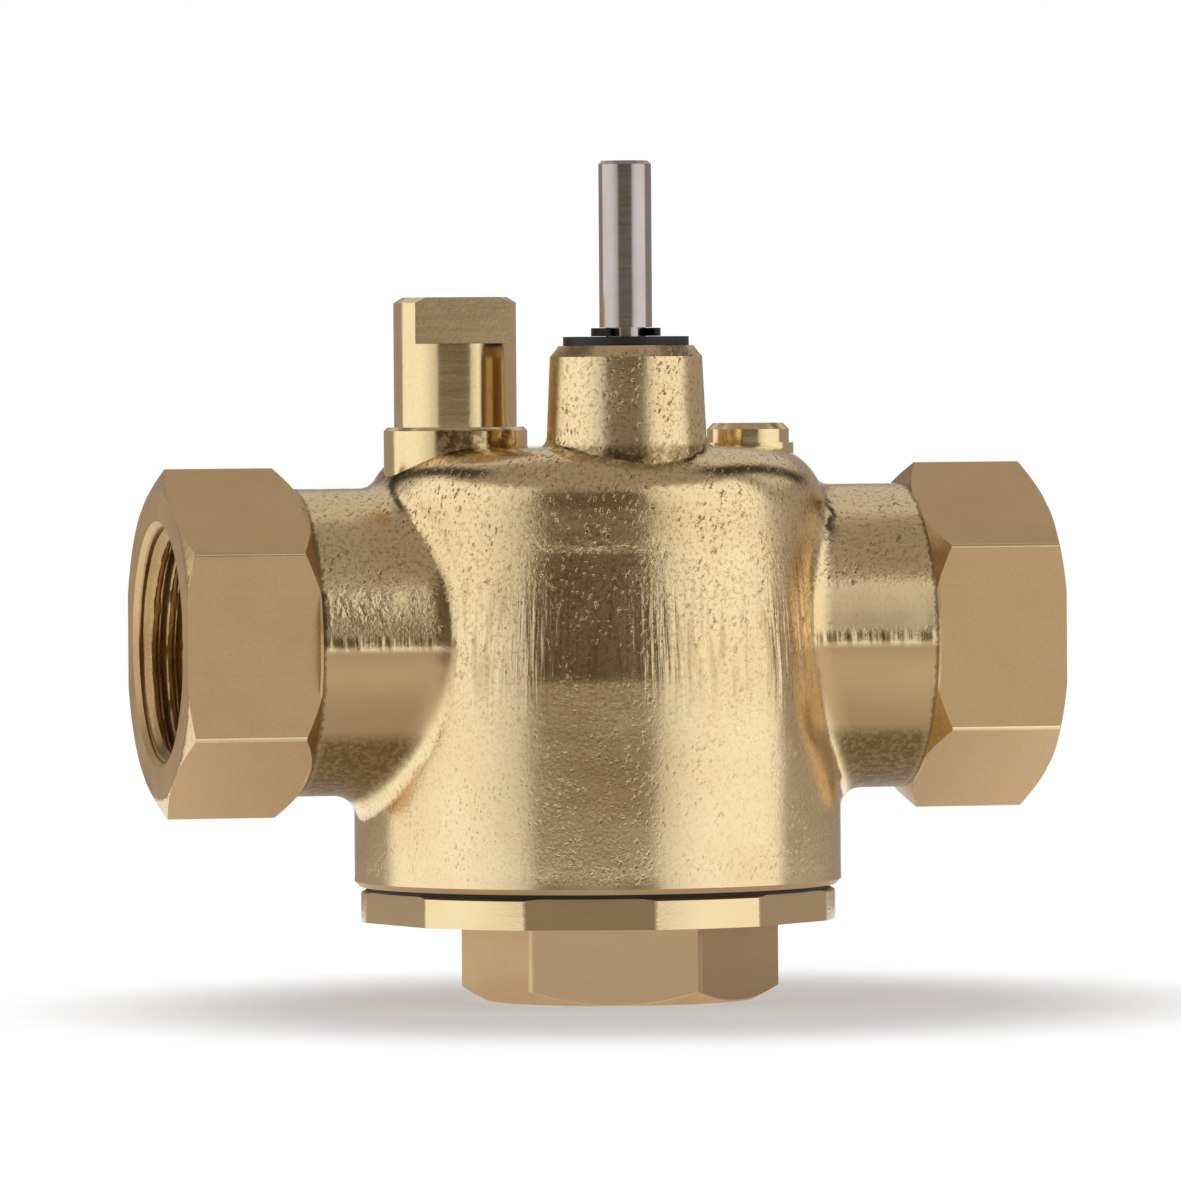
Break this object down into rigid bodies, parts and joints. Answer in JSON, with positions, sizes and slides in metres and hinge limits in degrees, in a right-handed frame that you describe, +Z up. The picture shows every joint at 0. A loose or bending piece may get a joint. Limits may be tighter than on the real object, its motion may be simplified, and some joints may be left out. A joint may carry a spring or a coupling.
{
  "type": "three-way zone valve body",
  "caption": "Brass diverting valve body with hex threaded ports to both sides and below, an off-centre turning stem on a boss, a latch post and a locating button.",
  "frame": {"origin": "barrel axis at the face of the bottom port, which the valve stands on", "axes": "+X along the side ports towards the right port, away from the latch post; +Z up along the stem; -Y is the front, where the stem boss stands"},
  "size_m": [0.1, 0.0544, 0.0933],
  "materials": {
    "cast_brass": "fine cast skin, hexes and post machined",
    "turned_brass": "machined satin",
    "stem_steel": "ground",
    "black_steel": "blackened",
    "dark_plastic": "matte",
    "white_plastic": "smooth",
    "black_rubber": "matte",
    "plug_rubber": "moulded"
  },
  "bodies": {
    "body": {"valve_body": "cast_brass", "bottom_cap": "turned_brass", "cap_gasket": "black_rubber", "seat_left": "turned_brass", "seat_right": "turned_brass", "stem_bush": "dark_plastic", "thrust_washer": "white_plastic", "dust_washer": "dark_plastic"},
    "stem_group": {"stem": "stem_steel", "stem_seal_upper": "black_rubber", "stem_seal_lower": "black_rubber", "retaining_ring": "black_steel", "paddle_plate": "stem_steel", "paddle_pin": "stem_steel", "plug_left": "plug_rubber", "plug_right": "plug_rubber", "plug_rivet": "stem_steel"}
  },
  "joints": [
    {"name": "stem_turn", "type": "hinge", "parent": "body", "child": "stem_group", "pos_m": [0, -0.0145, 0.0648], "axis": [0, 0, 1], "range_deg": [-22, 22]}
  ]
}
